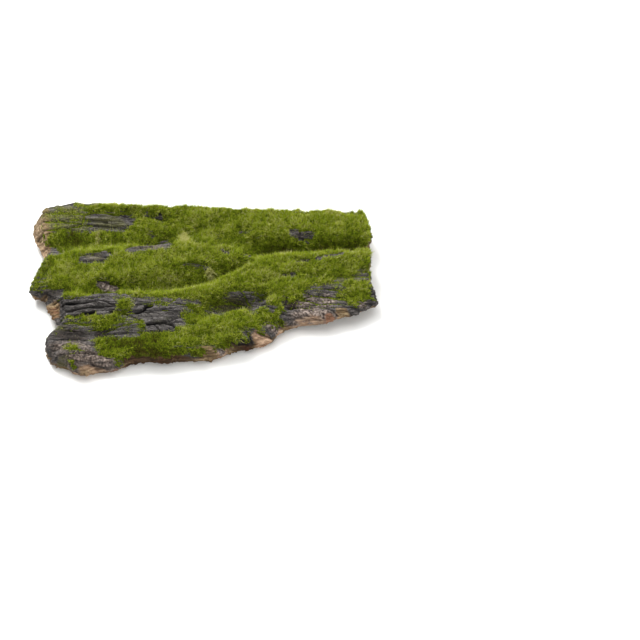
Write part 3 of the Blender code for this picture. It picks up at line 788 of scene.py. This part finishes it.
    # The few pale ones are longer, the palest 2.3 times.
    longer = add(made, "ShaderNodeMath", {0: own, 1: 1.3, 2: 1.0}, operation="MULTIPLY_ADD")
    length = add(made, "ShaderNodeMath", {
        0: add(made, "ShaderNodeMath", {0: own_size, 1: shorter}, operation="MULTIPLY"),
        1: add(made, "ShaderNodeMath", {0: longer, 1: given["Length"]}, operation="MULTIPLY"),
    }, operation="MULTIPLY")
    points = add(made, "GeometryNodeStoreNamedAttribute", {
        "Geometry": points, "Name": "tint", "Value": tint,
    }, data_type="FLOAT", domain="POINT")
    standing = add(made, "GeometryNodeInstanceOnPoints", {
        "Points": points, "Instance": shoot, "Rotation": turned,
        "Scale": add(made, "ShaderNodeCombineXYZ", {0: given["Width"], 1: length, 2: length}),
    })
    real = add(made, "GeometryNodeRealizeInstances", {"Geometry": standing})
    # The shoot's own map: its tint, a little wider at the root than a line, and its height.
    tint_here = add(made, "GeometryNodeInputNamedAttribute", {"Name": "tint"}, data_type="FLOAT")
    rise_here = add(made, "GeometryNodeInputNamedAttribute", {"Name": "rise"}, data_type="FLOAT")
    jitter = add(made, "FunctionNodeRandomValue", {
        "Min": -0.006, "Max": 0.006, "Seed": 13,
    }, data_type="FLOAT")
    mapped = add(made, "GeometryNodeStoreNamedAttribute", {
        "Geometry": real, "Name": "OFBake", "Value": add(made, "ShaderNodeCombineXYZ", {
            0: add(made, "ShaderNodeMath", {0: tint_here, 1: jitter}, operation="ADD"),
            1: add(made, "ShaderNodeMath", {0: rise_here, 1: 0.94, 2: 0.03}, operation="MULTIPLY_ADD"),
        }),
    }, data_type="FLOAT2", domain="CORNER")
    for name in ("tint", "rise", "cover", "felt_tint"):
        mapped = add(made, "GeometryNodeRemoveAttribute", {"Geometry": mapped, "Name": name})
    coloured = add(made, "GeometryNodeSetMaterial", {"Geometry": mapped, "Material": given["Material"]})
    add(made, "NodeGroupOutput", {"Geometry": coloured})
    return made


def grow_shoots(felt, name, from_x, to_x, seed):
    """A piece with the shoots that stand on a felt between two places along the slab."""
    modifier = felt.modifiers.new("shoots", "NODES")
    modifier.node_group = shoot_nodes
    values = {
        "Shoots per m2": SHOOTS_PER_MM2 * 1e6, "Length": SHOOT_LENGTH * MM, "Width": SHOOT_WIDTH * MM,
        "From x": from_x * MM, "To x": to_x * MM, "Seed": seed, "Material": shoot_material,
    }
    for item in shoot_nodes.interface.items_tree:
        if item.item_type == "SOCKET" and item.name in values:
            modifier[item.identifier] = values[item.name]
    mesh = evaluated_copy(felt, name)
    felt.modifiers.remove(modifier)
    piece = bpy.data.objects.new(name, mesh)
    bpy.context.scene.collection.objects.link(piece)
    return piece


shoot_nodes = shoots_tree()
moss_pieces = []
for node in MOSS_NODES:
    felt = build_felt(node)
    strips = CARPET_STRIPS if node == "moss_carpet" else [WHOLE_LENGTH]
    for n, (start, end) in enumerate(strips, start=1):
        moss_pieces.append((grow_shoots(felt, f"{node}_shoots_{n}", start, end, seed=n), node))
    # The felt's underside lies in the bark, and closes it.
    thick = felt.modifiers.new("closed", "SOLIDIFY")
    thick.thickness = FELT_THICKNESS * MM
    thick.offset = -1
    closed = evaluated_copy(felt, node + "_felt_closed")
    bpy.data.objects.remove(felt)
    closed.materials.clear()
    closed.materials.append(felt_material)
    felt_piece = bpy.data.objects.new(node + "_felt", closed)
    bpy.context.scene.collection.objects.link(felt_piece)
    moss_pieces.append((felt_piece, node))
for piece, node in moss_pieces:
    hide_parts(node)
    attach(piece, "root")


# ---- The table and the light ------------------------------------------------------------------------
# A white table top, a soft light behind on the left, a larger one overhead, a weak one in front, and an even
# white room.

TABLE_REACH = 3.0
ROOM_LIGHT = 0.42
# Each light's name, place, width and power.
LIGHTS = [
    ("key", (-0.35, 0.55, 0.8), 0.5, 14.0),
    ("overhead", (0.0, 0.3, 1.1), 1.2, 10.0),
    ("fill", (0.4, -0.9, 0.7), 1.0, 5.5),
]
floor_shape = bmesh.new()
bmesh.ops.create_grid(floor_shape, x_segments=1, y_segments=1, size=TABLE_REACH)
floor_mesh = bpy.data.meshes.new("floor")
floor_shape.to_mesh(floor_mesh)
floor_shape.free()
floor = bpy.data.objects.new("floor", floor_mesh)
bpy.context.scene.collection.objects.link(floor)
floor_material, tree, output = new_material("white_table")
floor_shader = add(tree, "ShaderNodeBsdfPrincipled", {
    "Base Color": srgb("#f4f4f2"), "Roughness": 0.9, "Specular IOR Level": 0.1,
})
tree.links.new(floor_shader.outputs[0], output.inputs["Surface"])
floor_mesh.materials.append(floor_material)

for name, place, width, power in LIGHTS:
    lamp = bpy.data.objects.new(name, bpy.data.lights.new(name, "AREA"))
    lamp.data.size = width
    lamp.data.energy = power
    lamp.location = place
    lamp.rotation_euler = (-Vector(place)).to_track_quat("-Z", "Y").to_euler()
    bpy.context.scene.collection.objects.link(lamp)
room = bpy.data.worlds.new("room")
bpy.context.scene.world = room
room.use_nodes = True
room.node_tree.nodes["Background"].inputs["Color"].default_value = (1, 1, 1, 1)
room.node_tree.nodes["Background"].inputs["Strength"].default_value = ROOM_LIGHT
bpy.context.scene.view_settings.view_transform = "Standard"
